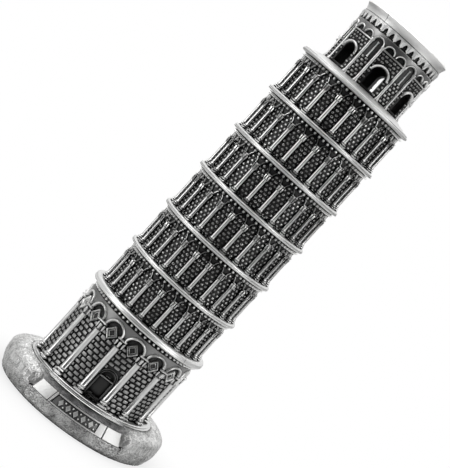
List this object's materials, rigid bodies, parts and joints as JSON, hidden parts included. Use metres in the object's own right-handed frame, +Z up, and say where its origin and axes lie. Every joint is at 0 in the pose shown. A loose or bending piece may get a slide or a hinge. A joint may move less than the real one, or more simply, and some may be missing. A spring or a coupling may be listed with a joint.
{
  "type": "miniature leaning tower",
  "caption": "Miniature leaning round tower of stacked arcaded storeys under an open belfry, on a rocky round plinth with an ornamented banner; stands on its flat felted underside.",
  "frame": {"origin": "centre of the plinth's flat underside, on the surface that the model stands on", "axes": "+Z up, the front with the door and banner faces -Y, the tower leans towards +X"},
  "size_m": [0.0703, 0.0661, 0.1804],
  "materials": {
    "antique_silver": "antique silver plate on a cast tin or zinc alloy, worn bright on raised edges and blackened in the recesses",
    "blackened_silver": "the same casting with raised bricks, blackened between them and rubbed to mid grey on their faces",
    "rocky_silver": "the same plate over a rough stone-like cast skin",
    "felt": "thin dark green felt",
    "filling": "poured resin filling, out of sight"
  },
  "bodies": {
    "root": {"felt_pad": "felt", "weight_core": "filling", "plinth": "rocky_silver", "banner": "antique_silver", "foot_ring": "antique_silver", "ground_wall": "blackened_silver", "ground_columns": "antique_silver", "ground_arches": "antique_silver", "ground_lozenges": "antique_silver", "ground_frieze": "antique_silver", "door": "blackened_silver", "cornice_1": "antique_silver", "gallery_wall_1": "blackened_silver", "gallery_columns_1": "antique_silver", "gallery_frieze_1": "antique_silver", "cornice_2": "antique_silver", "gallery_wall_2": "blackened_silver", "gallery_columns_2": "antique_silver", "gallery_frieze_2": "antique_silver", "cornice_3": "antique_silver", "gallery_wall_3": "blackened_silver", "gallery_columns_3": "antique_silver", "gallery_frieze_3": "antique_silver", "cornice_4": "antique_silver", "gallery_wall_4": "blackened_silver", "gallery_columns_4": "antique_silver", "gallery_frieze_4": "antique_silver", "cornice_5": "antique_silver", "gallery_wall_5": "blackened_silver", "gallery_columns_5": "antique_silver", "gallery_frieze_5": "antique_silver", "cornice_6": "antique_silver", "gallery_wall_6": "blackened_silver", "gallery_columns_6": "antique_silver", "gallery_frieze_6": "antique_silver", "terrace": "antique_silver", "belfry_wall": "blackened_silver", "window_hoods": "antique_silver", "belfry_colonnettes": "antique_silver", "belfry_string": "antique_silver", "corbel_frieze": "antique_silver", "crown_rim": "antique_silver", "roof_disc": "blackened_silver"}
  },
  "joints": []
}
